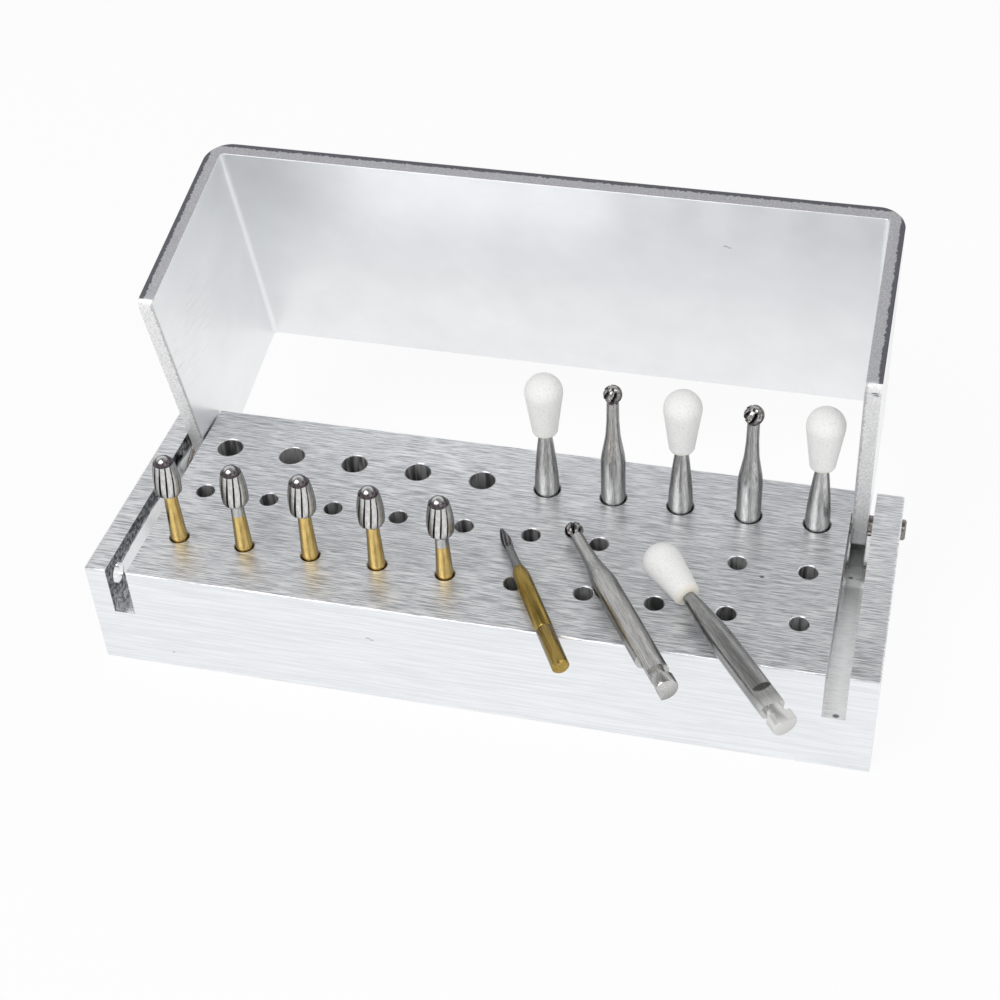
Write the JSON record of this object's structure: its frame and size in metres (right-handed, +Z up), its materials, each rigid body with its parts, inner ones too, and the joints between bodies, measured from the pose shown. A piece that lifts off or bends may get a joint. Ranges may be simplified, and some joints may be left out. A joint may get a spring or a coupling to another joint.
{
  "type": "dental bur block",
  "caption": "Milled metal bur block with rows of sockets for dental burs and a folded lid hinged at the back, open, with burs standing and lying on it.",
  "frame": {"origin": "on the underside, below the centre of the socket grid", "axes": "+X along the rows of sockets, +Y towards the hinge, +Z up"},
  "size_m": [0.0744, 0.0499, 0.0361],
  "materials": {
    "block": "brushed along the rows",
    "lid": "satin",
    "pin": "polished",
    "carbide": "polished",
    "gold_plate": "polished",
    "steel_shank": "polished",
    "white_stone": "matte"
  },
  "bodies": {
    "block": {"bur_block": "block", "hinge_pin_left": "pin", "hinge_pin_right": "pin", "finishing_bur_1_head": "carbide", "finishing_bur_1_shank": "gold_plate", "finishing_bur_2_head": "carbide", "finishing_bur_2_shank": "gold_plate", "finishing_bur_3_head": "carbide", "finishing_bur_3_shank": "gold_plate", "finishing_bur_4_head": "carbide", "finishing_bur_4_shank": "gold_plate", "finishing_bur_5_head": "carbide", "finishing_bur_5_shank": "gold_plate", "stone_bur_1_stone": "white_stone", "stone_bur_1_shank": "steel_shank", "stone_bur_2_stone": "white_stone", "stone_bur_2_shank": "steel_shank", "stone_bur_3_stone": "white_stone", "stone_bur_3_shank": "steel_shank", "round_bur_1_head": "carbide", "round_bur_1_shank": "steel_shank", "round_bur_2_head": "carbide", "round_bur_2_shank": "steel_shank", "needle_bur_head": "carbide", "needle_bur_shank": "gold_plate", "loose_round_bur_head": "carbide", "loose_round_bur_shank": "steel_shank", "loose_stone_bur_stone": "white_stone", "loose_stone_bur_shank": "steel_shank"},
    "lid": {"lid": "lid"}
  },
  "joints": [
    {"name": "lid_hinge", "type": "hinge", "parent": "block", "child": "lid", "pos_m": [0, 0.00994, 0.00945], "axis": [1, 0, 0], "range_deg": [0, 79.6]}
  ]
}
